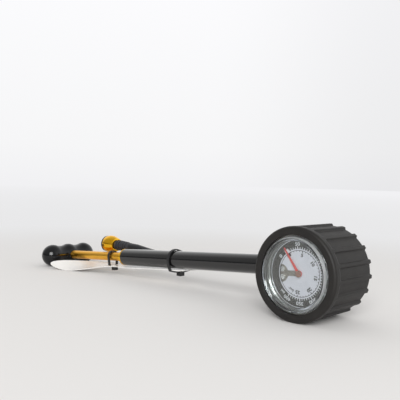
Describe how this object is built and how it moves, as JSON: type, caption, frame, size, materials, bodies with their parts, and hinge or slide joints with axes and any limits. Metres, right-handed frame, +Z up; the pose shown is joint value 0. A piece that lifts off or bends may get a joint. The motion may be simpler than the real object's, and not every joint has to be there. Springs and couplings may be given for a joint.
{
  "type": "shock suspension pump",
  "caption": "Hand pump for air suspension: dial gauge in a fluted rubber boot, slim barrel with a sliding rod and T-handle, stowed hose with a screw-on valve chuck, ties and a hang card",
  "frame": {"origin": "on the table under the middle of the pump's bounding box, with the pump lying on its boot and its handle", "axes": "+X runs from the handle towards the gauge, +Y points from the dial's face towards the gauge's back, +Z is up"},
  "size_m": [0.3418, 0.0644, 0.0635],
  "materials": {
    "boot_rubber": "matte",
    "black_plastic": "satin",
    "lens_clear": "clear, gloss",
    "seal_rubber": "matte",
    "dial_white": "satin",
    "steel": "satin",
    "dark_steel": "satin",
    "brass": "satin",
    "pointer_red": "satin",
    "black_anodised": "satin anodised",
    "gold_anodised": "gloss anodised",
    "poppet_plastic": "matte",
    "handle_black": "gloss",
    "hose_rubber": "satin",
    "relief_plastic": "satin",
    "tie_plastic": "satin",
    "card": "matte"
  },
  "bodies": {
    "pump_body": {"rubber_boot": "boot_rubber", "gauge_case": "black_plastic", "gauge_lens": "lens_clear", "lens_seal": "seal_rubber", "dial_plate": "dial_white", "movement_screws": "steel", "movement_front_plate": "brass", "movement_back_plate": "brass", "movement_pillars": "brass", "bourdon_tube": "brass", "gauge_socket": "brass", "socket_seal": "seal_rubber", "head_block": "black_anodised", "check_seat": "brass", "check_spring": "steel", "bleed_spring": "steel", "bleed_seal": "seal_rubber", "barrel_gasket": "seal_rubber", "barrel": "black_anodised", "barrel_collar": "gold_anodised", "rod_wiper": "seal_rubber", "hose_swivel": "black_anodised", "swivel_bolt": "dark_steel", "swivel_seals": "seal_rubber", "hose_ferrule": "black_anodised", "hose": "hose_rubber", "strain_relief": "relief_plastic", "chuck_stem": "brass", "core_pin": "brass", "valve_gasket": "seal_rubber", "cable_tie_rod": "tie_plastic", "cable_tie_barrel": "tie_plastic", "hang_card": "card"},
    "plunger": {"piston_rod": "gold_anodised", "piston_head": "black_plastic", "piston_seal": "seal_rubber", "handle": "handle_black", "handle_bolt": "dark_steel"},
    "sector": {"sector_gear": "brass", "sector_arbor": "steel"},
    "link": {"tip_link": "brass"},
    "needle": {"pointer_arbor": "steel", "pointer": "pointer_red"},
    "chuck": {"chuck_sleeve": "gold_anodised", "nose_ring": "seal_rubber"},
    "bleed": {"bleed_button": "gold_anodised"},
    "check": {"check_poppet": "poppet_plastic"}
  },
  "joints": [
    {"name": "plunger_slide", "type": "slide", "parent": "pump_body", "child": "plunger", "axis": [-0.997, 0, -0.0768], "range_m": [-0.03, 0.092], "deforming": ["hang_card"]},
    {"name": "sector_turn", "type": "hinge", "parent": "pump_body", "child": "sector", "pos_m": [0.14936, -0.01887, 0.02297], "axis": [0, -1, 0], "range_deg": [0, 30.6]},
    {"name": "link_turn", "type": "hinge", "parent": "sector", "child": "link", "pos_m": [0.15337, -0.01847, 0.02478], "axis": [0, -1, 0], "range_deg": [-30.6, 0]},
    {"name": "needle_turn", "type": "hinge", "parent": "pump_body", "child": "needle", "pos_m": [0.13911, -0.01887, 0.03175], "axis": [0, 1, 0], "range_deg": [0, 245]},
    {"name": "chuck_spin", "type": "hinge", "parent": "pump_body", "child": "chuck", "pos_m": [-0.09689, 0.01422, 0.0257], "axis": [1, 0, 0], "continuous": true},
    {"name": "bleed_press", "type": "slide", "parent": "pump_body", "child": "bleed", "axis": [0, -1, 0], "range_m": [0, 0.0018], "stiffness_N_per_m": 900, "springref_m": -0.002, "deforming": ["bleed_spring"]},
    {"name": "check_lift", "type": "slide", "parent": "pump_body", "child": "check", "axis": [0.997, 0, 0.0768], "range_m": [0, 0.0012], "stiffness_N_per_m": 200, "springref_m": -0.001, "deforming": ["check_spring"]}
  ],
  "couplings": [
    {"joint": "needle_turn", "follows": "sector_turn", "ratio": 8},
    {"joint": "link_turn", "follows": "sector_turn", "ratio": -1}
  ]
}
